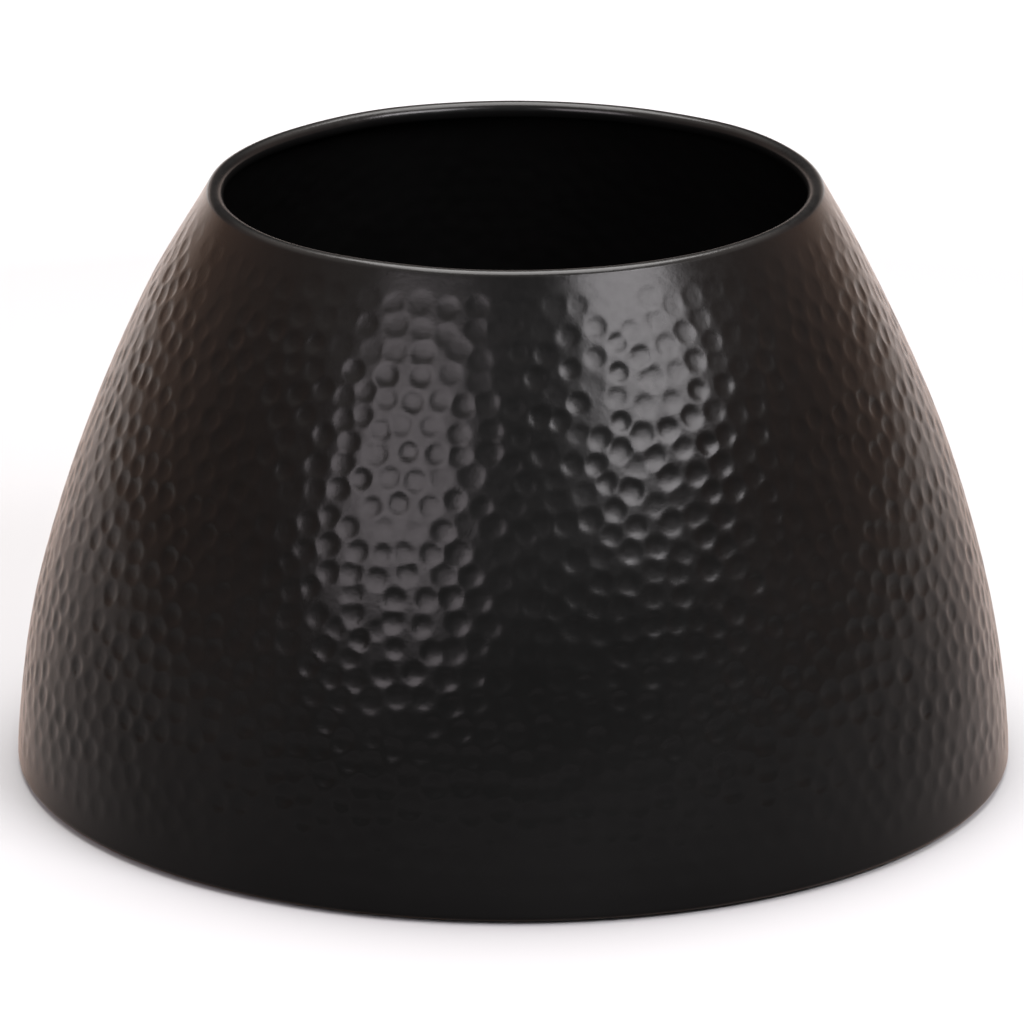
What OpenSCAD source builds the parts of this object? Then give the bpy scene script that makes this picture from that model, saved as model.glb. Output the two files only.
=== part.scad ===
// Umbrella stand: a low, wide bell of hammered sheet metal with an open mouth and a wired lip.
// A pressed floor stands inside its foot on four rubber feet, and a loose drip tray lies on the floor
// and lifts out through the mouth.
// Millimetres, +Z up, origin on the ground under the middle of the stand. -Y is the front.

/* [Overall size] */
// Width across the foot of the wall
base_w = 450; // [400:1:520]
// Height from the ground to the top of the lip
stand_h = 268; // [220:1:340]
// How much the wall narrows from foot to lip, as a share of the foot's radius
narrowing = 0.39; // [0.32:0.01:0.41]
// Power of the wall's curve: a higher power keeps the wall upright for longer
curve_power = 1.77; // [1.5:0.01:2.2]

/* [Sheet] */
// Thickness of the sheet in the wall and floor
sheet_t = 1.2; // [0.8:0.1:1.6]
// Diameter of the wire inside the lip
wire_d = 5.4; // [3:0.1:6]
// Outer radius of the bend at the foot of the wall
bend_r = 2.6; // [2.2:0.1:5]
// Width of the flange turned in at the foot of the wall
flange_w = 17; // [12:1:22]

/* [Floor] */
// Gap under the bottom edge of the wall
ground_gap = 1.5; // [1:0.1:3]
// Depth of the round recess that centres the drip tray
recess_depth = 3; // [2:0.5:5]
// Width of the sealant bead between floor and wall
seal_w = 5; // [3:0.5:7]

/* [Drip tray] */
// Width of the drip tray across its rim
tray_w = 244; // [200:1:246]
// Height of the drip tray
tray_h = 32; // [24:1:50]
// Thickness of the tray's plastic
tray_t = 2; // [1.6:0.1:2.4]
// Number of round ribs on the tray's floor
tray_ribs = 4; // [2:1:6]

/* [Feet] */
// Width of a foot at its top
foot_w = 27; // [24:1:30]
// Height of a foot
foot_h = 11; // [10:0.5:14]
// Distance from the middle of the stand to the middle of a foot
foot_reach = 176; // [145:1:178]

/* [Hidden] */
$fn = 96;

base_r = base_w / 2;
wall_h = stand_h - ground_gap;
wall_steps = 24;
arc_step = 12; // degrees between two points on a small arc

// Lip: the sheet goes round the wire and ends under it
wire_play = 0.1;
lip_r = wire_d / 2 + wire_play + sheet_t;
lip_z = stand_h - lip_r;
lip_end_angle = 305;
lip_start_angle = wall_lean(lip_z);
lip_join_z = lip_z + lip_r * sin(lip_start_angle);
lip_centre_r = wall_r(lip_join_z) - lip_r * cos(lip_start_angle);

// Floor: its rim lies on the flange, a step lifts it onto the feet, and the middle is recessed
floor_z = foot_h + sheet_t;
pan_rim_z = ground_gap + 2 * sheet_t;
pan_r = base_r - bend_r - 0.3;
pan_step_r = base_r - flange_w - 6;
tray_z = floor_z - recess_depth;
ramp_shift = sheet_t * tan(22.5); // how far a 45 degree ramp's corners move across the sheet

// Drip tray
tray_rim_w = 6;
tray_rim_drop = 5;
tray_draft = 8;
tray_top = tray_z + tray_h;
tray_neck_r = tray_w / 2 - tray_rim_w;
tray_foot_r = tray_neck_r - tray_draft;
tray_corner_r = 5;
tray_lift = 1; // the tray's floor stands clear of the recess inside its foot ring
tray_floor_z = tray_z + tray_lift + tray_t;
tray_ring_w = 9;
rib_w = 2.4;
rib_h = 1.5;
recess_r = tray_foot_r + 3;

// Feet, and the rivets that hold them
foot_angles = [-45, -135, 135, 45];
foot_taper = 1.5;
foot_edge_r = 1.5;
well_r = 6.6;
well_depth = 6;
rivet_r = 2.4;
rivet_hole_r = rivet_r + 0.1;
rivet_head_r = 4.6;
rivet_head_h = 2;
washer_r = 6;
washer_t = 1;
washer_z = well_depth - washer_t;

// Radius of the wall's outer face at height z
function wall_r(z) = base_r * (1 - narrowing * pow((z - ground_gap) / wall_h, curve_power));

// Angle by which the wall leans in at height z
function wall_lean(z) =
    atan(base_r * narrowing * curve_power / wall_h * pow((z - ground_gap) / wall_h, curve_power - 1));

// Points round an arc, with the angle measured up from the outward direction
function arc(centre, r, from, to) =
    let (steps = ceil(abs(to - from) / arc_step))
    [for (i = [0 : steps])
        let (a = from + (to - from) * i / steps)
        centre + r * [cos(a), sin(a)]];

// Points up the wall, moved inward across the sheet by depth
function wall_line(depth) =
    [for (i = [1 : wall_steps - 1])
        let (z = ground_gap + bend_r + (lip_join_z - ground_gap - bend_r) * i / wall_steps,
             lean = wall_lean(z))
        [wall_r(z), z] - depth * [cos(lean), sin(lean)]];

function reversed(points) = [for (i = [len(points) - 1 : -1 : 0]) points[i]];

// The shell's outer face (depth 0) or inner face (depth sheet_t), from the flange to the end of the roll
function shell_face(depth) = concat(
    [[base_r - flange_w, ground_gap + depth]],
    arc([base_r - bend_r, ground_gap + bend_r], bend_r - depth, -90, 0),
    wall_line(depth),
    arc([lip_centre_r, lip_z], lip_r - depth, lip_start_angle, lip_end_angle));

// Wall of hammered sheet, rolled in at the mouth and turned in at the foot
module shell() {
    color([0.10, 0.10, 0.10])
    rotate_extrude()
    polygon(concat(shell_face(0), reversed(shell_face(sheet_t))));
}

// Wire ring inside the lip
module rim_wire() {
    color([0.62, 0.62, 0.64])
    rotate_extrude()
    translate([lip_centre_r, lip_z])
    circle(d = wire_d);
}

// Floor pressed from one disc, with a rivet hole over each foot
module floor_pan() {
    floor_under = floor_z - sheet_t;
    recess_under = tray_z - sheet_t;
    step_h = floor_z - pan_rim_z;
    recess_edge = recess_r + recess_depth;
    step_edge = pan_step_r - step_h;
    color([0.12, 0.12, 0.12])
    difference() {
        rotate_extrude()
        polygon([
            [0, recess_under],
            [recess_r + ramp_shift, recess_under],
            [recess_edge + ramp_shift, floor_under],
            [step_edge - ramp_shift, floor_under],
            [pan_step_r - ramp_shift, pan_rim_z - sheet_t],
            [pan_r, pan_rim_z - sheet_t],
            [pan_r, pan_rim_z],
            [pan_step_r, pan_rim_z],
            [step_edge, floor_z],
            [recess_edge, floor_z],
            [recess_r, tray_z],
            [0, tray_z]
        ]);
        at_feet() translate([0, 0, floor_under - 1]) cylinder(r = rivet_hole_r, h = sheet_t + 2);
    }
}

// Cove of sealant in the corner between floor and wall
module seam_seal() {
    seal_r = wall_r(pan_rim_z + seal_w) - sheet_t - 0.15;
    color([0.16, 0.16, 0.17])
    rotate_extrude()
    polygon(concat(
        [[seal_r, pan_rim_z], [seal_r, pan_rim_z + seal_w]],
        reversed(arc([seal_r - seal_w, pan_rim_z + seal_w], seal_w - 1, -84, -6)),
        [[seal_r - seal_w, pan_rim_z]]));
}

// Points of one round rib on the tray's floor, from the outer side to the inner side
function rib(r) = [
    [r + rib_w / 2, tray_floor_z],
    [r + rib_w / 4, tray_floor_z + rib_h],
    [r - rib_w / 4, tray_floor_z + rib_h],
    [r - rib_w / 2, tray_floor_z]
];

// Loose tray with a foot ring, round ribs and a turned-down rim to lift it by
module drip_tray() {
    rib_reach = tray_foot_r - tray_ring_w - tray_t;
    ribs = [for (i = [tray_ribs : -1 : 1]) rib(rib_reach * i / (tray_ribs + 0.5))];
    wall_angle = atan(tray_draft / (tray_h - tray_corner_r));
    rim_r = tray_w / 2;
    edge_r = tray_t;
    color([0.08, 0.08, 0.09])
    rotate_extrude()
    polygon(concat(
        [[0, tray_z + tray_lift]],
        [[tray_foot_r - tray_ring_w - tray_lift, tray_z + tray_lift]],
        [[tray_foot_r - tray_ring_w, tray_z]],
        arc([tray_foot_r - tray_corner_r, tray_z + tray_corner_r], tray_corner_r, -90, -wall_angle),
        [[tray_neck_r - tray_t / 2, tray_top - tray_t]],
        [[rim_r - tray_t, tray_top - tray_t]],
        [[rim_r - tray_t, tray_top - tray_rim_drop]],
        [[rim_r, tray_top - tray_rim_drop]],
        arc([rim_r - edge_r, tray_top - edge_r], edge_r, 0, 90),
        arc([tray_neck_r, tray_top - edge_r], edge_r, 90, 180 - wall_angle),
        arc([tray_foot_r - tray_corner_r, tray_floor_z + tray_corner_r - tray_t],
            tray_corner_r - tray_t, -wall_angle, -90),
        [for (one = ribs) each one],
        [[0, tray_floor_z]]));
}

// Puts its children over each foot
module at_feet() {
    for (angle = foot_angles) at_foot(angle) children();
}

module at_foot(angle) {
    rotate(angle) translate([foot_reach, 0, 0]) children();
}

// Rubber foot: a round bumper with a well that hides the washer and the rivet's head
module foot(angle) {
    top_r = foot_w / 2;
    low_r = top_r - foot_taper;
    color([0.05, 0.05, 0.05])
    at_foot(angle)
    rotate_extrude()
    polygon(concat(
        [[rivet_hole_r, foot_h], [rivet_hole_r, well_depth], [well_r, well_depth]],
        [[well_r, 0.8], [well_r + 0.8, 0]],
        arc([low_r - foot_edge_r, foot_edge_r], foot_edge_r, -90, 0),
        arc([top_r - foot_edge_r / 2, foot_h - foot_edge_r / 2], foot_edge_r / 2, 0, 90)));
}

module foot_front_right() { foot(foot_angles[0]); }

module foot_front_left() { foot(foot_angles[1]); }

module foot_back_left() { foot(foot_angles[2]); }

module foot_back_right() { foot(foot_angles[3]); }

// Steel washers that spread each rivet's load on the rubber
module foot_washers() {
    color([0.70, 0.70, 0.72])
    at_feet()
    translate([0, 0, washer_z])
    difference() {
        cylinder(r = washer_r, h = washer_t);
        translate([0, 0, -1]) cylinder(r = rivet_hole_r, h = washer_t + 2);
    }
}

// Half of a rivet's domed head, as points from its middle to its edge, up (way 1) or down (way -1)
function dome(z, r, h, way) =
    [for (i = [0 : 6]) let (a = 90 - 15 * i) [r * cos(a), z + way * h * sin(a)]];

// Rivets: a domed head in the foot's well, a shank, and a closing head on top of the floor
module foot_rivets() {
    color([0.66, 0.66, 0.68])
    at_feet()
    rotate_extrude()
    polygon(concat(
        dome(washer_z, rivet_head_r, rivet_head_h, -1),
        [[rivet_r, washer_z], [rivet_r, floor_z]],
        reversed(dome(floor_z, rivet_head_r, rivet_head_h, 1))));
}

shell();
rim_wire();
floor_pan();
seam_seal();
drip_tray();
foot_front_right();
foot_front_left();
foot_back_left();
foot_back_right();
foot_washers();
foot_rivets();
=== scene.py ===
"""Looks of the umbrella stand: a bell of hand-hammered sheet in satin black paint, with its floor, feet
and lift-out drip tray. Metres, in the CAD frame: +Z up, the ground at z = 0, the front towards -Y."""

import math

import bpy
import numpy as np
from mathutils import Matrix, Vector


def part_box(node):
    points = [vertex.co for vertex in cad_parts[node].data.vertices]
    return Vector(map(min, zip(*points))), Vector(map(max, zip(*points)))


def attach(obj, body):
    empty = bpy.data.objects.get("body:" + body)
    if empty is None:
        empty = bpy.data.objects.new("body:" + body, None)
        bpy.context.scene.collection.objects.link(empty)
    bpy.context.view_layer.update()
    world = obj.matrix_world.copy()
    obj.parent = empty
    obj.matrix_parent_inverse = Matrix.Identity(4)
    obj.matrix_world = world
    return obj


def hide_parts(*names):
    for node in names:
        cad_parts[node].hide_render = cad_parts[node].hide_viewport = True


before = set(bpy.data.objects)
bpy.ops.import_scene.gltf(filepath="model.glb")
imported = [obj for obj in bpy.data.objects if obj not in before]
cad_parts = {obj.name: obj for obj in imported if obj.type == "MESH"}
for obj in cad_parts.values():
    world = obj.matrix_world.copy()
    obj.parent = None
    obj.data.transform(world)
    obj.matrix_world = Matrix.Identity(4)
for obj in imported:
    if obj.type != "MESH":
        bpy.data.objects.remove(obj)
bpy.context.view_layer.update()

MM = 0.001
FULL_TURN = 2 * math.pi
SHARP = math.radians(40)  # edges that turn by more than this stay sharp
ARC_STEP = math.radians(15)
ON_AXIS = 1e-7

# The wall's curve and the sheet, as the CAD shell has them
NARROWING = 0.39
CURVE_POWER = 1.77
SHEET = 1.2 * MM
BEND = 2.6 * MM
FLANGE = 17 * MM
LIP_END = math.radians(305)


def half_width(node):
    """Radius of a round CAD node about the stand's axis."""
    low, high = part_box(node)
    return max(high[0] - low[0], high[1] - low[1]) / 2


shell_low, shell_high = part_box("shell")
FOOT_R = half_width("shell")
FOOT_Z = shell_low[2]
WALL_H = shell_high[2] - FOOT_Z

wire_low, wire_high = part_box("rim_wire")
WIRE_R = (wire_high[2] - wire_low[2]) / 2
LIP_Z = (wire_high[2] + wire_low[2]) / 2
LIP_R = shell_high[2] - LIP_Z
LIP_CENTRE = half_width("rim_wire") - WIRE_R


def wall_radius(z):
    """Radius of the wall's outer face."""
    return FOOT_R * (1 - NARROWING * ((z - FOOT_Z) / WALL_H) ** CURVE_POWER)


def wall_lean(z):
    """How far the wall leans in, as an angle from upright."""
    rise = ((z - FOOT_Z) / WALL_H) ** (CURVE_POWER - 1)
    return np.arctan(FOOT_R * NARROWING * CURVE_POWER / WALL_H * rise)


LIP_START = float(wall_lean(LIP_Z))
JOIN_Z = LIP_Z + LIP_R * math.sin(LIP_START)


# ---------------------------------------------------------------------------------------------- meshes


def add_mesh(name, points, faces):
    """A smooth-shaded mesh object, with its sharp edges kept."""
    mesh = bpy.data.meshes.new(name)
    mesh.from_pydata(points, [], faces)
    mesh.validate()
    mesh.shade_smooth()
    mesh.set_sharp_from_angle(angle=SHARP)
    obj = bpy.data.objects.new(name, mesh)
    bpy.context.scene.collection.objects.link(obj)
    return obj


def add_grid(name, grid):
    """A closed mesh from rows of points: each row is a ring, and the last row joins the first."""
    rows, columns = grid.shape[:2]
    mesh = bpy.data.meshes.new(name)
    mesh.vertices.add(rows * columns)
    mesh.vertices.foreach_set("co", grid.reshape(-1).astype(np.float32))
    row = np.arange(rows)[:, None]
    column = np.arange(columns)[None, :]
    next_row = (row + 1) % rows
    next_column = (column + 1) % columns
    corners = np.stack(
        [
            row * columns + column,
            row * columns + next_column,
            next_row * columns + next_column,
            next_row * columns + column,
        ],
        axis=-1,
    ).reshape(-1)
    quads = rows * columns
    mesh.loops.add(quads * 4)
    mesh.loops.foreach_set("vertex_index", corners.astype(np.int32))
    mesh.polygons.add(quads)
    mesh.polygons.foreach_set("loop_start", np.arange(0, quads * 4, 4, dtype=np.int32))
    mesh.update(calc_edges=True)
    mesh.shade_smooth()
    mesh.set_sharp_from_angle(angle=SHARP)
    obj = bpy.data.objects.new(name, mesh)
    bpy.context.scene.collection.objects.link(obj)
    return obj


def rounded(outline):
    """The outline's corners as arcs. Each corner is (r, z, radius); one without a radius stays sharp."""
    points = []
    count = len(outline)
    for i, corner in enumerate(outline):
        here = np.array(corner[:2])
        radius = corner[2] if len(corner) > 2 else 0
        before = np.array(outline[i - 1][:2]) - here
        after = np.array(outline[(i + 1) % count][:2]) - here
        if radius == 0:
            points.append(tuple(here))
            continue
        before /= np.linalg.norm(before)
        after /= np.linalg.norm(after)
        half = math.acos(np.clip(before @ after, -1, 1)) / 2
        middle = before + after
        centre = here + middle / np.linalg.norm(middle) * radius / math.sin(half)
        start = here + before * radius / math.tan(half) - centre
        end = here + after * radius / math.tan(half) - centre
        turn = math.pi - 2 * half
        steps = max(2, math.ceil(turn / ARC_STEP))
        for k in range(steps + 1):
            share = k / steps
            spoke = start * math.sin((1 - share) * turn) + end * math.sin(share * turn)
            points.append(tuple(centre + spoke / math.sin(turn)))
    return points


def lathe(name, outline, columns, centres=((0, 0),)):
    """Turns an outline of (r, z) points round an upright axis at each centre.
    Points at r = 0 become one pole."""
    points = []
    faces = []
    for x, y in centres:
        rings = []
        for r, z in outline:
            turns = 1 if r < ON_AXIS else columns
            rings.append(range(len(points), len(points) + turns))
            for k in range(turns):
                a = FULL_TURN * k / columns
                points.append((x + r * math.cos(a), y + r * math.sin(a), z))
        closed = len(rings[0]) > 1
        for i in range(len(rings) if closed else len(rings) - 1):
            low = rings[i]
            high = rings[(i + 1) % len(rings)]
            for k in range(columns):
                n = (k + 1) % columns
                if len(low) == 1:
                    faces.append((low[0], high[n], high[k]))
                elif len(high) == 1:
                    faces.append((low[k], low[n], high[0]))
                else:
                    faces.append((low[k], low[n], high[n], high[k]))
    return add_mesh(name, points, faces)


def place(obj, body, node, material):
    """Puts a finished piece on its body, in place of its CAD node."""
    obj.data.materials.append(material)
    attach(obj, body)
    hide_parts(node)


# --------------------------------------------------------------------------------------- hammered shell

SEED = 7
COLUMNS = 900
PROFILE_POINTS = 4000
WALL_STEP = 1.35 * MM
INNER_EVERY = 2  # the inner face has every second row of the outer one
LIP_STEPS = 40
INNER_LIP_STEPS = 20

# Where the hammer marks lie: pitch, and the bare strips at the foot and under the lip
MARK_PITCH = 12.3 * MM
LOWEST_MARK = 15 * MM
HIGHEST_MARK = 13.5 * MM
STAGGER = math.radians(60)
FIRST_SCATTER = 0.30  # of the pitch, before the marks are evened out
LAST_SCATTER = 0.05  # of the pitch, afterwards
EVENING_ROUNDS = 6
EVENING_GAP = 1.12  # of the pitch: marks closer than this push each other away
EVENING_PUSH = 0.2
NO_GAP = 1e-9

# Each mark's shape: a flat-bottomed bowl with a soft edge
MARK_R = 5.2 * MM
MARK_DEPTH = 0.42 * MM
MARK_POWER = 3
MARK_EDGE = 0.12
MARK_REACH = 1.35  # of the mark's radius, where it ends
SIZE_SPREAD, SIZE_MIN, SIZE_MAX = 0.07, 0.82, 1.15
DEPTH_SPREAD, DEPTH_MIN, DEPTH_MAX = 0.22, 0.35, 1.5

# Patches where the marks are fainter, from waves round and up the wall
PATCH_WAVES = (3, 4, 7, 11, 13)
PATCH_SLOPE = 40
PATCH_FROM, PATCH_FADE, PATCH_LOSS = 1.2, 1.5, 0.5

# Next to the bare strips a mark has STRIP_DEPTH of its depth, and all of it STRIP_FADE pitches away
STRIP_DEPTH, STRIP_GAIN, STRIP_FADE = 0.45, 0.55, 2.5
INNER_PRESS = 0.8  # how much of each mark shows on the inner face

# How far the stand is out of true. Swells are in mm, with their waves round and up the wall
WALL_SWELLS = ((2, 0.9, 0.10), (3, 1.4, 0.14), (5, 2.3, 0.10), (9, 4.1, 0.07), (14, 6.3, 0.05))
LIP_SWELLS = ((3, 0.15), (5, 0.10), (8, 0.06))
TRUE_FOOT = 30 * MM
MOUTH_OVAL = 0.5 * MM
MOUTH_SHIFT = 1.1 * MM
PULL_FROM, PULL_FADE = 0.80, 0.20  # shares of the wall's length
LIP_TILT = 0.5 * MM
LIFT_FROM = 0.5  # of the wall's height

WELDS = 40
WELD_R = 2.4 * MM
WELD_DEPTH = 0.22 * MM
WELD_PLACE = 0.52  # of the flange's width


def smooth_step(x):
    """A share from 0 to 1, eased at both ends."""
    x = np.clip(x, 0, 1)
    return x * x * (3 - 2 * x)


def wall_profile():
    """Evenly spaced points up the outer face: radius, height, lean and distance along the wall."""
    z = np.linspace(FOOT_Z + BEND, JOIN_Z, PROFILE_POINTS)
    r = wall_radius(z)
    along = np.concatenate([[0], np.cumsum(np.hypot(np.diff(r), np.diff(z)))])
    rows = round(along[-1] / WALL_STEP)
    s = np.linspace(0, along[-1], rows + 1)
    z = np.interp(s, along, z)
    return wall_radius(z), z, wall_lean(z), s


def mark_centres(s, r, rng):
    """Angle and distance along the wall of each hammer mark: staggered rings, scattered at random,
    evened out, then left a little uneven."""
    row_gap = MARK_PITCH * math.sin(STAGGER)
    rings = round((s[-1] - LOWEST_MARK - HIGHEST_MARK) / row_gap)
    angles = []
    heights = []
    for i in range(rings + 1):
        height = LOWEST_MARK + (s[-1] - LOWEST_MARK - HIGHEST_MARK) * i / rings
        count = round(FULL_TURN * np.interp(height, s, r) / MARK_PITCH)
        angles.append((np.arange(count) + rng.random()) * FULL_TURN / count)
        heights.append(np.full(count, height))
    angle = np.concatenate(angles)
    height = np.concatenate(heights)
    scatter = FIRST_SCATTER * MARK_PITCH
    angle += rng.normal(0, scatter, angle.size) / np.interp(height, s, r)
    height += rng.normal(0, scatter, height.size)
    for _ in range(EVENING_ROUNDS):
        radius = np.interp(height, s, r)
        turn = (angle[:, None] - angle[None, :] + math.pi) % FULL_TURN - math.pi
        across = turn * (radius[:, None] + radius[None, :]) / 2
        up = height[:, None] - height[None, :]
        gap = np.hypot(across, up) + NO_GAP
        push = np.clip(EVENING_GAP * MARK_PITCH - gap, 0, None) / gap
        np.fill_diagonal(push, 0)
        angle += EVENING_PUSH * (push * across).sum(1) / radius
        height += EVENING_PUSH * (push * up).sum(1)
        height = np.clip(height, LOWEST_MARK, s[-1] - HIGHEST_MARK)
    scatter = LAST_SCATTER * MARK_PITCH
    angle += rng.normal(0, scatter, angle.size) / np.interp(height, s, r)
    height += rng.normal(0, scatter, height.size)
    return angle % FULL_TURN, height


def bowl(out):
    """Depth of a mark at a distance from its middle, as shares of its depth and its radius."""
    inside = 1 - out**MARK_POWER
    return (inside + np.sqrt(inside**2 + MARK_EDGE**2)) / 2


def mark_depths(s, r, rng):
    """Depth of the hammer marks over the wall, one row of columns for each value of s."""
    angle, height = mark_centres(s, r, rng)
    size = MARK_R * np.clip(rng.normal(1, SIZE_SPREAD, angle.size), SIZE_MIN, SIZE_MAX)
    depth = MARK_DEPTH * np.clip(rng.normal(1, DEPTH_SPREAD, angle.size), DEPTH_MIN, DEPTH_MAX)
    weak = np.zeros(angle.size)
    for waves in PATCH_WAVES:
        weak += np.cos(waves * angle + PATCH_SLOPE * waves * height + rng.random() * FULL_TURN)
    depth *= 1 - PATCH_LOSS * smooth_step((weak - PATCH_FROM) / PATCH_FADE)
    edge = np.minimum(height - LOWEST_MARK, s[-1] - HIGHEST_MARK - height)
    depth *= STRIP_DEPTH + STRIP_GAIN * smooth_step(edge / (STRIP_FADE * MARK_PITCH))
    gap = s[1] - s[0]
    column_gap = FULL_TURN / COLUMNS
    reach = MARK_REACH * size.max()
    tall = math.ceil(reach / gap)
    wide = math.ceil(reach / (r.min() * column_gap))
    middle_row = np.round(height / gap).astype(int)
    middle_column = np.round(angle / column_gap).astype(int)
    row = middle_row[:, None, None] + np.arange(-tall, tall + 1)[None, :, None]
    column = middle_column[:, None, None] + np.arange(-wide, wide + 1)[None, None, :]
    row = np.clip(row, 0, s.size - 1)
    up = s[row] - height[:, None, None]
    across = (column * column_gap - angle[:, None, None]) * r[row]
    out = np.hypot(up, across) / size[:, None, None]
    value = np.clip(depth[:, None, None] * (bowl(out) - bowl(MARK_REACH)), 0, None)
    value = np.where(out < MARK_REACH, value, 0)
    field = np.zeros((s.size, COLUMNS))
    row, column = np.broadcast_arrays(row, column % COLUMNS)
    np.maximum.at(field, (row, column), value)
    return field


def hand_wobble(s, angle, rng):
    """How far the sheet stands off its true shape: slow waves round and up the wall, none at the foot,
    and a mouth that is pulled a little oval and off centre."""
    total = np.zeros((s.size, angle.size))
    for waves, height, swell in WALL_SWELLS:
        for lean in (-1, 1):
            phase = rng.random() * FULL_TURN
            slope = lean * height * s[:, None] / s[-1] * FULL_TURN / 2
            total += swell * MM * np.cos(waves * angle[None, :] + slope + phase)
    total *= smooth_step(s / TRUE_FOOT)[:, None]
    pull = MOUTH_SHIFT * np.cos(angle) - MOUTH_OVAL * (1 + np.cos(2 * angle))
    return total + smooth_step((s / s[-1] - PULL_FROM) / PULL_FADE)[:, None] * pull[None, :]


def lip_lift(angle, rng):
    """How far the lip rises and falls round the mouth."""
    total = LIP_TILT * np.sin(angle)
    for waves, swell in LIP_SWELLS:
        total += swell * MM * np.cos(waves * angle + rng.random() * FULL_TURN)
    return total


def ring_points(r, z, angle):
    """Points of rings round the axis, from radii and heights that may differ along each ring."""
    r = np.broadcast_to(r, np.broadcast_shapes(np.shape(r), (1, angle.size)))
    z = np.broadcast_to(z, r.shape)
    return np.stack([r * np.cos(angle), r * np.sin(angle), z], axis=-1)


def arc(centre_r, centre_z, radius, start, end, steps):
    """Radii and heights of points along an arc, one row each."""
    a = np.linspace(start, end, steps + 1)[:, None]
    return centre_r + radius * np.cos(a), centre_z + radius * np.sin(a)


def weld_marks(r, angle):
    """Depth of the spot welds under the flange."""
    middle = FOOT_R - FLANGE * WELD_PLACE
    turn = (angle[None, :] * WELDS / FULL_TURN) % 1 - 0.5
    across = turn * FULL_TURN / WELDS * middle
    away = np.hypot(across, r[:, None] - middle)
    return WELD_DEPTH * np.exp(-((away / WELD_R) ** 4))


def hammered_shell():
    """The wall as one sheet: flange, foot bend, hammered wall, rolled lip, and back down inside.
    Also gives the last row's wobble and the lip's lift, for the wire."""
    rng = np.random.default_rng(SEED)
    angle = np.arange(COLUMNS) * FULL_TURN / COLUMNS
    r, z, lean, s = wall_profile()
    marks = mark_depths(s, r, rng)
    wobble = hand_wobble(s, angle, rng)
    lift = lip_lift(angle, rng)
    lift_share = smooth_step((z - LIFT_FROM * WALL_H) / ((1 - LIFT_FROM) * WALL_H))
    rise = lift_share[:, None] * lift[None, :]
    out = np.stack([np.cos(lean), np.sin(lean)])[:, :, None]

    def face(depth, every, press):
        """Wall rows at a depth across the sheet. Press is how much of each mark shows there."""
        off = wobble - press * marks - depth
        rows = slice(1, -1, every)
        wall_r = (r[:, None] + out[0] * off)[rows]
        wall_z = (z[:, None] + out[1] * off + rise)[rows]
        return ring_points(wall_r, wall_z, angle)

    def flange(depth, steps):
        start = FOOT_R - FLANGE
        radii = np.linspace(start, FOOT_R - BEND, steps + 1)[:-1]
        height = np.full((radii.size, 1), FOOT_Z + depth)
        if depth == 0:
            height = height + weld_marks(radii, angle)
        return ring_points(radii[:, None], height, angle)

    def foot(depth, steps):
        rr, zz = arc(FOOT_R - BEND, FOOT_Z + BEND, BEND - depth, -math.pi / 2, 0, steps)
        return ring_points(rr, zz, angle)

    def lip(depth, steps):
        rr, zz = arc(LIP_CENTRE, LIP_Z, LIP_R - depth, LIP_START, LIP_END, steps)
        shift = wobble[-1][None, :]
        lip_r = rr + shift * math.cos(LIP_START)
        lip_z = zz + shift * math.sin(LIP_START) + lift[None, :]
        return ring_points(lip_r, lip_z, angle)

    outer = np.concatenate(
        [
            flange(depth=0, steps=16),
            foot(depth=0, steps=8),
            face(depth=0, every=1, press=1.0),
            lip(depth=0, steps=LIP_STEPS),
        ]
    )
    inner = np.concatenate(
        [
            flange(depth=SHEET, steps=3),
            foot(depth=SHEET, steps=4),
            face(depth=SHEET, every=INNER_EVERY, press=INNER_PRESS),
            lip(depth=SHEET, steps=INNER_LIP_STEPS),
        ]
    )
    obj = add_grid("hammered_shell", np.concatenate([outer, inner[::-1]]))
    ring = np.arange(len(obj.data.polygons)) // COLUMNS
    lip_and_inside = ring >= len(outer) - LIP_STEPS - 1
    obj.data.polygons.foreach_set("material_index", lip_and_inside.astype(np.int32))
    return obj, wobble[-1], lift


def lip_wire(wobble, lift):
    """The wire in the lip, following the lip's own waves. It has a third of the shell's columns."""
    angle = np.arange(COLUMNS) * FULL_TURN / COLUMNS
    sides = 16
    a = (np.arange(sides) * FULL_TURN / sides)[:, None]
    r = LIP_CENTRE + WIRE_R * np.cos(a) + wobble[None, :] * math.cos(LIP_START)
    z = LIP_Z + WIRE_R * np.sin(a) + wobble[None, :] * math.sin(LIP_START) + lift[None, :]
    return add_grid("lip_wire", ring_points(r, z, angle)[:, ::3])


# ------------------------------------------------------------------------------------------- materials


def shade(tint, factor=1.0):
    """A tint made darker or lighter, as a colour with alpha."""
    return [c * factor for c in tint] + [1]


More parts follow.
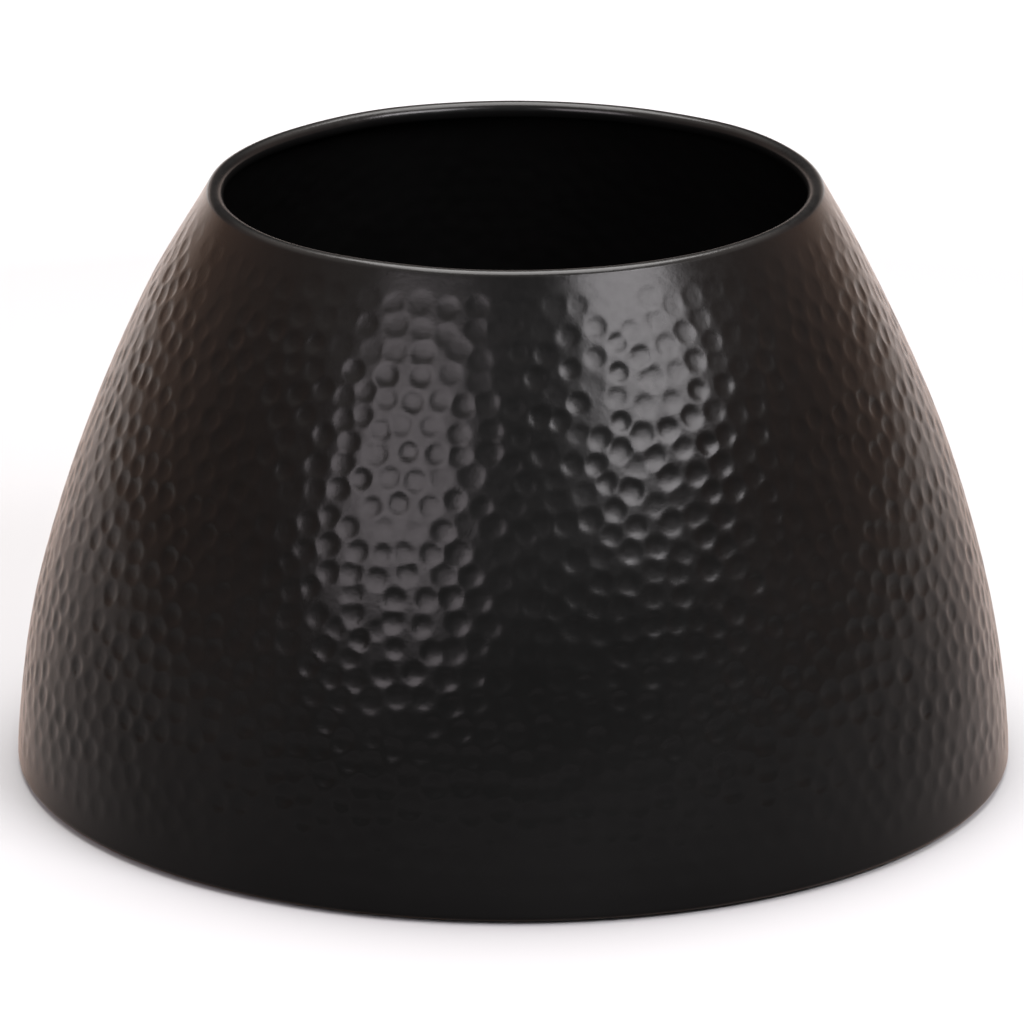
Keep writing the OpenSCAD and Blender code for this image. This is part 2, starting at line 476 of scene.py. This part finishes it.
class Finish:
    """A material and its node tree, with short ways to add to it."""

    def __init__(self, name, **sockets):
        self.material = bpy.data.materials.new(name)
        self.material.use_nodes = True
        self.tree = self.material.node_tree
        self.shader = self.tree.nodes["Principled BSDF"]
        for socket, value in sockets.items():
            self.shader.inputs[socket.replace("_", " ")].default_value = value
        self.coords = self.node("ShaderNodeTexCoord").outputs["Object"]

    def node(self, kind, inputs=(), **settings):
        made = self.tree.nodes.new(kind)
        for key, value in settings.items():
            setattr(made, key, value)
        for key, value in dict(inputs).items():
            if isinstance(value, bpy.types.NodeSocket):
                self.tree.links.new(value, made.inputs[key])
            else:
                made.inputs[key].default_value = value
        return made

    def noise(self, scale, detail, coords=None):
        inputs = {"Vector": coords or self.coords, "Scale": scale, "Detail": detail}
        return self.node("ShaderNodeTexNoise", inputs).outputs["Fac"]

    def spread(self, value, low, high, to_low=0, to_high=1):
        """A value's range from low to high, stretched to a new range and cut off at its ends."""
        inputs = {"Value": value, 1: low, 2: high, 3: to_low, 4: to_high}
        return self.node("ShaderNodeMapRange", inputs).outputs[0]

    def combine(self, operation, a, b):
        return self.node("ShaderNodeMath", {0: a, 1: b}, operation=operation).outputs[0]

    def blend(self, share, a, b):
        made = self.node("ShaderNodeMix", {0: share, 6: a, 7: b}, data_type="RGBA")
        return made.outputs[2]

    def bump(self, height, distance, normal=None):
        inputs = {"Height": height, "Distance": distance, "Strength": 1.0}
        if normal is not None:
            inputs["Normal"] = normal
        return self.node("ShaderNodeBump", inputs).outputs["Normal"]

    def use(self, **sockets):
        for socket, value in sockets.items():
            self.tree.links.new(value, self.shader.inputs[socket.replace("_", " ")])
        return self.material


# The sheen's warm tint is painted reflection: it adds an orange glow at grazing angles in place of warm
# surroundings reflected at the stand's sides.
PAINTED_WARM_REFLECTION = (1.0, 0.40, 0.10, 1)


def black_paint(name, tint, roughness, peel, ior=1.15, sheen=0.0):
    """Satin black paint with orange peel, uneven gloss and rubbed crests, and, if asked, a faint sheen
    whose warm tint is painted reflection, standing in for warm surroundings seen at the grazing sides."""
    f = Finish(name, IOR=ior, Sheen_Weight=sheen, Sheen_Roughness=0.3, Sheen_Tint=PAINTED_WARM_REFLECTION)
    deep, pale, worn = shade(tint, 0.82), shade(tint, 1.25), shade(tint, 2.6)
    crest_colour, crest_gloss = 0.6, 0.05  # how far a rubbed crest is worn and polished
    cloudy = f.noise(scale=9, detail=3)
    fine = f.noise(scale=240, detail=4)
    crest = f.spread(f.node("ShaderNodeNewGeometry").outputs["Pointiness"], 0.51, 0.56)
    rub = f.combine("MULTIPLY", crest, f.spread(f.noise(scale=35, detail=4), 0.45, 0.62))
    colour = f.blend(f.spread(cloudy, 0.35, 0.65), deep, pale)
    colour = f.blend(f.combine("MULTIPLY", rub, crest_colour), colour, worn)
    uneven = f.combine("MULTIPLY", cloudy, fine)
    gloss = f.spread(uneven, 0.15, 0.35, roughness - 0.03, roughness + 0.04)
    gloss = f.combine("SUBTRACT", gloss, f.combine("MULTIPLY", rub, crest_gloss))
    normal = f.bump(f.noise(scale=520, detail=2), peel)
    normal = f.bump(f.noise(scale=1900, detail=2), peel * 0.12, normal)
    return f.use(Base_Color=colour, Roughness=gloss, Normal=normal)


def drawn_steel(name, tint, roughness):
    """Bare steel with fine draw lines and dull patches."""
    line_depth = 0.03 * MM
    f = Finish(name, Metallic=1.0)
    stretched = f.node("ShaderNodeMapping", {"Vector": f.coords, "Scale": (1, 1, 6)}).outputs[0]
    lines = f.noise(scale=900, detail=3, coords=stretched)
    dull = f.noise(scale=60, detail=3)
    colour = f.blend(f.spread(dull, 0.35, 0.7), shade(tint, 0.75), shade(tint))
    gloss = f.spread(lines, 0.3, 0.7, roughness - 0.07, roughness + 0.1)
    return f.use(Base_Color=colour, Roughness=gloss, Normal=f.bump(lines, line_depth))


def soft_black(name, tint, roughness, grain_scale, grain_depth):
    """Rubber, sealant or moulded plastic: dark, matt, with a fine grain and a little dust."""
    f = Finish(name, IOR=1.20)
    dust = f.spread(f.noise(scale=45, detail=5), 0.5, 0.75, to_high=0.5)
    colour = f.blend(dust, shade(tint), shade(tint, 1.8))
    grain = f.noise(grain_scale, detail=2)
    gloss = f.spread(grain, 0.3, 0.7, roughness - 0.06, roughness + 0.06)
    normal = f.bump(grain, grain_depth)
    return f.use(Base_Color=colour, Roughness=gloss, Normal=normal)


WALL_BLACK = (0.0015, 0.0015, 0.0015)
WALL_PEEL = 0.035 * MM
# The wall's paint carries the warm-tinted sheen, a painted reflection at the grazing sides; the lip and
# inside have none.
shell_paint = black_paint("hammered_black_paint", WALL_BLACK, 0.215, WALL_PEEL, sheen=0.07)
lip_paint = black_paint("lip_black_paint", WALL_BLACK, 0.23, WALL_PEEL, ior=1.19)
floor_paint = black_paint("floor_black_paint", (0.0045, 0.0044, 0.0044), 0.40, 0.03 * MM)
wire_steel = drawn_steel("drawn_wire", (0.24, 0.235, 0.23), 0.38)
zinc_steel = drawn_steel("zinc_plate", (0.31, 0.315, 0.325), 0.34)
rivet_steel = drawn_steel("rivet_steel", (0.27, 0.27, 0.265), 0.30)
foot_rubber = soft_black("foot_rubber", (0.007, 0.007, 0.0068), 0.72, 700, 0.05 * MM)
seal_rubber = soft_black("sealant", (0.005, 0.005, 0.005), 0.42, 160, 0.12 * MM)
tray_plastic = soft_black("tray_plastic", (0.0035, 0.0035, 0.0037), 0.55, 1300, 0.06 * MM)


# ---------------------------------------------------------------------------------------------- pieces

shell, lip_wobble, lip_rise = hammered_shell()
place(shell, "stand", "shell", shell_paint)
shell.data.materials.append(lip_paint)

wire = lip_wire(lip_wobble, lip_rise)
place(wire, "stand", "rim_wire", wire_steel)


# Sizes of the floor, tray and feet, as the CAD has them
STEP_IN = 6 * MM
TRAY_RIM = 6 * MM
TRAY_RIM_DROP = 5 * MM
TRAY_DRAFT = 8 * MM
TRAY_T = 2 * MM
TRAY_LIFT = 1 * MM
TRAY_RING = 9 * MM
TRAY_RIBS = 4
RIB_W = 2.4 * MM
RIB_H = 1.5 * MM
RECESS_PLAY = 3 * MM
FOOT_TAPER = 1.5 * MM
WELL_R = 6.6 * MM
WELL_DEPTH = 6 * MM
HOLE_R = 2.5 * MM
WASHER_R = 6 * MM
RIVET_R = 2.4 * MM
RIVET_HEAD_R = 4.6 * MM
RIVET_HEAD_H = 2 * MM

tray_low, tray_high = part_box("drip_tray")
TRAY_R = half_width("drip_tray")
TRAY_NECK = TRAY_R - TRAY_RIM
TRAY_FOOT = TRAY_NECK - TRAY_DRAFT
PAN_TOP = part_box("floor_pan")[1][2]
PAN_R = half_width("floor_pan")
PAN_RIM_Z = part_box("floor_pan")[0][2] + SHEET
FOOT_NODES = ("foot_front_right", "foot_front_left", "foot_back_left", "foot_back_right")


def middle(node):
    """The x and y of a node's middle."""
    low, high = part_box(node)
    return ((low[0] + high[0]) / 2, (low[1] + high[1]) / 2)


FOOT_CENTRES = [middle(node) for node in FOOT_NODES]


def pressed_floor():
    """The floor's rim, the step up, and the recess the tray stands in, with a press's soft bends."""
    recess_z = tray_low[2]
    step_r = FOOT_R - FLANGE - STEP_IN
    step_in = step_r - (PAN_TOP - PAN_RIM_Z)
    recess_r = TRAY_FOOT + RECESS_PLAY
    recess_out = recess_r + PAN_TOP - recess_z
    shift = SHEET * math.tan(math.radians(22.5))
    tight = 1.2 * MM
    wide = tight + SHEET
    cut_edge = 0.3 * MM
    outline = [
        (0, recess_z - SHEET),
        (recess_r + shift, recess_z - SHEET, wide),
        (recess_out + shift, PAN_TOP - SHEET, tight),
        (step_in - shift, PAN_TOP - SHEET, tight),
        (step_r - shift, PAN_RIM_Z - SHEET, wide),
        (PAN_R, PAN_RIM_Z - SHEET, cut_edge),
        (PAN_R, PAN_RIM_Z, cut_edge),
        (step_r, PAN_RIM_Z, tight),
        (step_in, PAN_TOP, wide),
        (recess_out, PAN_TOP, wide),
        (recess_r, recess_z, tight),
        (0, recess_z),
    ]
    return lathe("pressed_floor", rounded(outline), 288)


def sealant_bead():
    """The tooled cove of sealant between floor and wall, a little uneven along both edges.
    It runs slightly into both, so that no gap shows."""
    edge_swells = ((3, 0.12), (7, 0.12), (17, 0.10), (31, 0.08), (61, 0.05))
    rng = np.random.default_rng(SEED + 1)
    angle = np.arange(COLUMNS) * FULL_TURN / COLUMNS
    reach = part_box("seam_seal")[1][2] - PAN_RIM_Z
    outer = half_width("seam_seal") + 0.3 * MM
    under = PAN_RIM_Z - 0.1 * MM
    floor_side = np.full(COLUMNS, reach)
    wall_side = np.full(COLUMNS, reach)
    for side in (floor_side, wall_side):
        for waves, swell in edge_swells:
            side += swell * MM * np.cos(waves * angle + rng.random() * FULL_TURN)
    turn = np.linspace(0, math.pi / 2, 11)[:, None]
    sag = 0.72 + 0.05 * np.cos(5 * angle + 1)  # 1 is a full cove, 0 a flat slope
    flat = turn * 2 / math.pi
    across = outer - floor_side * (1 - np.sin(turn)) * sag - (1 - sag) * floor_side * (1 - flat)
    up = PAN_RIM_Z + wall_side * (1 - np.cos(turn)) * sag + (1 - sag) * wall_side * flat
    rows = np.concatenate(
        [
            ring_points(np.full((1, 1), outer), np.full((1, 1), under), angle),
            ring_points((outer - floor_side)[None, :], np.full((1, 1), under), angle),
            ring_points(across, up, angle),
        ]
    )
    return add_grid("sealant_bead", rows[::-1])


def lift_out_tray():
    """The loose tray: foot ring, thin wall, turned-down rim and round ribs on its floor."""
    under = tray_low[2]
    top = tray_high[2]
    floor = under + (TRAY_LIFT + TRAY_T)
    rim_low = top - TRAY_RIM_DROP
    ring_in = TRAY_FOOT - TRAY_RING
    rib_reach = ring_in - TRAY_T
    rib_round = 0.5 * MM
    rim_round = 0.7 * MM
    gate_r = 3.4 * MM  # the dimple left by the mould's gate
    gate_depth = 0.4 * MM
    gate_round = 0.3 * MM
    ribs = []
    for i in range(TRAY_RIBS, 0, -1):
        r = rib_reach * i / (TRAY_RIBS + 0.5)
        ribs += [
            (r + RIB_W / 2, floor, rib_round),
            (r + RIB_W / 4, floor + RIB_H, rib_round),
            (r - RIB_W / 4, floor + RIB_H, rib_round),
            (r - RIB_W / 2, floor, rib_round),
        ]
    outline = [
        (0, under + TRAY_LIFT),
        (ring_in - TRAY_LIFT, under + TRAY_LIFT, 0.5 * MM),
        (ring_in, under, 0.4 * MM),
        (TRAY_FOOT - 1.2 * MM, under, 5 * MM),
        (TRAY_NECK - TRAY_T / 2, top - TRAY_T, 1.2 * MM),
        (TRAY_R - TRAY_T, top - TRAY_T, 0.8 * MM),
        (TRAY_R - TRAY_T, rim_low, rim_round),
        (TRAY_R, rim_low, rim_round),
        (TRAY_R, top, 1.9 * MM),
        (TRAY_NECK - 1.46 * MM, top, 2.2 * MM),
        (TRAY_FOOT - 2.8 * MM, floor, 3 * MM),
        *ribs,
        (gate_r, floor, gate_round),
        (gate_r - gate_depth, floor - gate_depth, gate_round),
        (0, floor - gate_depth),
    ]
    return lathe("lift_out_tray", rounded(outline), 240)


def rubber_foot(node, name):
    """A moulded bumper: a well for the rivet's head, a rounded tread with a groove, and a mould line."""
    low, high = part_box(node)
    top_r = (high[0] - low[0]) / 2
    low_r = top_r - FOOT_TAPER
    top = high[2]
    groove_in = 8.4 * MM
    groove_out = 10.0 * MM
    groove_slope = 0.4 * MM
    groove_depth = 0.5 * MM
    mould_line = 0.62  # of the foot's height
    line_r = low_r + (top_r - low_r) * mould_line
    line_z = top * mould_line
    half_line = 0.15 * MM
    outline = [
        (HOLE_R, top),
        (HOLE_R, WELL_DEPTH),
        (WELL_R, WELL_DEPTH, 0.6 * MM),
        (WELL_R, 0, 0.9 * MM),
        (groove_in, 0, 0.3 * MM),
        (groove_in + groove_slope, groove_depth, 0.2 * MM),
        (groove_out - groove_slope, groove_depth, 0.2 * MM),
        (groove_out, 0, 0.3 * MM),
        (low_r, 0, 1.6 * MM),
        (line_r - 0.05 * MM, line_z - half_line),
        (line_r + 0.12 * MM, line_z),
        (line_r - 0.02 * MM, line_z + half_line),
        (top_r, top, 0.75 * MM),
    ]
    return lathe(name, rounded(outline), 72, [middle(node)])


def washers():
    """Stamped washers, sharper on the lower face."""
    low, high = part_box("foot_washers")
    sharp_edge = 0.1 * MM
    soft_edge = 0.35 * MM
    outline = [
        (HOLE_R, low[2], sharp_edge),
        (WASHER_R, low[2], sharp_edge),
        (WASHER_R, high[2], soft_edge),
        (HOLE_R, high[2], soft_edge),
    ]
    return lathe("zinc_washers", rounded(outline), 48, FOOT_CENTRES)


def rivets():
    """Semi-tubular rivets: a domed head in the foot's well, and the rolled end on top of the floor."""
    washer_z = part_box("foot_washers")[0][2]
    steps = 10
    dome_end = 80  # degrees round from the head's middle
    roll_in = 1.3 * MM  # inner radius of the rolled end
    roll_z = PAN_TOP + 0.9 * MM
    roll_h = 1.1 * MM
    hollow_r = 1.1 * MM
    bulge = (RIVET_HEAD_R - roll_in) / 2
    outline = [(0, washer_z - RIVET_HEAD_H)]
    for i in range(1, steps + 1):
        a = math.radians(90 - dome_end * i / steps)
        outline.append((RIVET_HEAD_R * math.cos(a), washer_z - RIVET_HEAD_H * math.sin(a)))
    outline += [
        (RIVET_HEAD_R, washer_z),
        (RIVET_R, washer_z),
        (RIVET_R, PAN_TOP),
        (RIVET_HEAD_R - 0.3 * MM, PAN_TOP),
    ]
    for i in range(steps + 1):
        a = math.radians(180 * i / steps)
        outline.append((roll_in + bulge + bulge * math.cos(a), roll_z + roll_h * math.sin(a)))
    outline += [(hollow_r, PAN_TOP + 0.5 * MM), (0, PAN_TOP + 0.4 * MM)]
    return lathe("tubular_rivets", outline, 48, FOOT_CENTRES)


place(pressed_floor(), "stand", "floor_pan", floor_paint)
place(sealant_bead(), "stand", "seam_seal", seal_rubber)
place(lift_out_tray(), "tray", "drip_tray", tray_plastic)
for node in FOOT_NODES:
    place(rubber_foot(node, "rubber_" + node), "stand", node, foot_rubber)
place(washers(), "stand", "foot_washers", zinc_steel)
place(rivets(), "stand", "foot_rivets", rivet_steel)

# -------------------------------------------------------------------------------------- stage and light


def studio_floor():
    """A wide floor, paler away from the lights so that it looks evenly lit up to the horizon."""
    near, far = 0.8, 5.0
    near_colour = (0.137, 0.140, 0.144, 1)
    far_colour = (0.84, 0.87, 0.90, 1)
    side = 60
    corners = [(-side, -side, 0), (side, -side, 0), (side, side, 0), (-side, side, 0)]
    mesh = bpy.data.meshes.new("studio_floor")
    mesh.from_pydata(corners, [], [(0, 1, 2, 3)])
    obj = bpy.data.objects.new("studio_floor", mesh)
    bpy.context.scene.collection.objects.link(obj)
    f = Finish("studio_floor", Roughness=0.9)
    away = f.node("ShaderNodeVectorMath", {0: f.coords}, operation="LENGTH").outputs["Value"]
    colour = f.blend(f.spread(away, near, far), near_colour, far_colour)
    obj.data.materials.append(f.use(Base_Color=colour))


LIGHT_DISTANCE = 2.6
LIGHT_AIM_Z = 0.13


def softbox(name, azimuth, elevation, width, height, radiance, tint):
    """An area light aimed at the stand. Azimuth 0 is behind the camera and grows towards +X."""
    light = bpy.data.lights.new(name, "AREA")
    light.shape = "RECTANGLE"
    light.size = width
    light.size_y = height
    light.energy = radiance * width * height * math.pi
    light.color = tint
    obj = bpy.data.objects.new(name, light)
    a = math.radians(azimuth)
    e = math.radians(elevation)
    flat = LIGHT_DISTANCE * math.cos(e)
    up = LIGHT_DISTANCE * math.sin(e) + LIGHT_AIM_Z
    obj.location = (flat * math.sin(a), -flat * math.cos(a), up)
    obj.rotation_euler = (math.pi / 2 - e, 0, a)
    obj.visible_camera = False
    bpy.context.scene.collection.objects.link(obj)


def studio_world(levels):
    """Soft surroundings in three bands of height, each with a colour in front, at the sides and behind,
    over a thin white line where they meet the floor."""
    world = bpy.data.worlds.new("studio")
    world.use_nodes = True
    tree = world.node_tree
    split = tree.nodes.new("ShaderNodeSeparateXYZ")
    tree.links.new(tree.nodes.new("ShaderNodeTexCoord").outputs["Generated"], split.inputs[0])

    def fade(axis, low, high):
        made = tree.nodes.new("ShaderNodeMapRange")
        made.interpolation_type = "SMOOTHSTEP"
        tree.links.new(split.outputs[axis], made.inputs["Value"])
        made.inputs["From Min"].default_value = low
        made.inputs["From Max"].default_value = high
        return made.outputs[0]

    def mix(share, a, b):
        made = tree.nodes.new("ShaderNodeMix")
        made.data_type = "RGBA"
        tree.links.new(share, made.inputs[0])
        for socket, colour in ((made.inputs[6], a), (made.inputs[7], b)):
            if isinstance(colour, tuple):
                socket.default_value = (*colour, 1)
            else:
                tree.links.new(colour, socket)
        return made.outputs[2]

    white = (1.0, 1.0, 1.0)
    to_side = fade("Y", -0.85, -0.25)
    to_back = fade("Y", 0.45, 0.85)
    low, mid, high = [mix(to_back, mix(to_side, front, side), back) for front, side, back in levels]
    horizon = mix(fade("Z", 0.015, 0.045), white, low)
    colour = mix(fade("Z", 0.45, 0.65), mix(fade("Z", 0.10, 0.20), horizon, mid), high)
    tree.links.new(colour, tree.nodes["Background"].inputs["Color"])
    bpy.context.scene.world = world


studio_floor()
softbox(
    "softbox_left",
    azimuth=-31.6,
    elevation=28,
    width=1.22,
    height=0.95,
    radiance=19.2,
    tint=(1.0, 0.90, 0.95),
)
softbox(
    "softbox_right",
    azimuth=44,
    elevation=38.2,
    width=1.34,
    height=0.84,
    radiance=44.5,
    tint=(1.0, 0.96, 0.99),
)
softbox(
    "softbox_top",
    azimuth=180,
    elevation=80,
    width=2.4,
    height=2.2,
    radiance=22,
    tint=(1.0, 0.98, 0.97),
)
studio_world(
    [
        # in front, at the sides, behind: from the lowest band to the highest
        ((0.58, 0.62, 0.60), (0.74, 0.53, 0.45), (1.05, 0.84, 0.75)),
        ((0.60, 0.65, 0.63), (0.95, 0.68, 0.60), (0.05, 0.05, 0.05)),
        ((0.90, 0.92, 0.95), (2.20, 1.92, 1.75), (1.30, 1.22, 1.15)),
    ]
)
bpy.context.scene.view_settings.view_transform = "Standard"

CAMERA_LENS = 301
CAMERA_SENSOR = 36
CAMERA_DISTANCE = 3.90
CAMERA_ELEVATION = math.radians(19.88)
AIM = (-0.0006, 0, 0.1134)

camera_data = bpy.data.cameras.new("camera")
camera_data.lens = CAMERA_LENS
camera_data.sensor_width = CAMERA_SENSOR
camera = bpy.data.objects.new("camera", camera_data)
camera_y = -CAMERA_DISTANCE * math.cos(CAMERA_ELEVATION)
camera.location = (0, camera_y, CAMERA_DISTANCE * math.sin(CAMERA_ELEVATION))
pitch = math.atan2(camera.location.z - AIM[2], -camera.location.y)
turn = math.atan2(-AIM[0], -camera.location.y)
camera.rotation_euler = (math.pi / 2 - pitch, 0, turn)
bpy.context.scene.collection.objects.link(camera)
bpy.context.scene.camera = camera
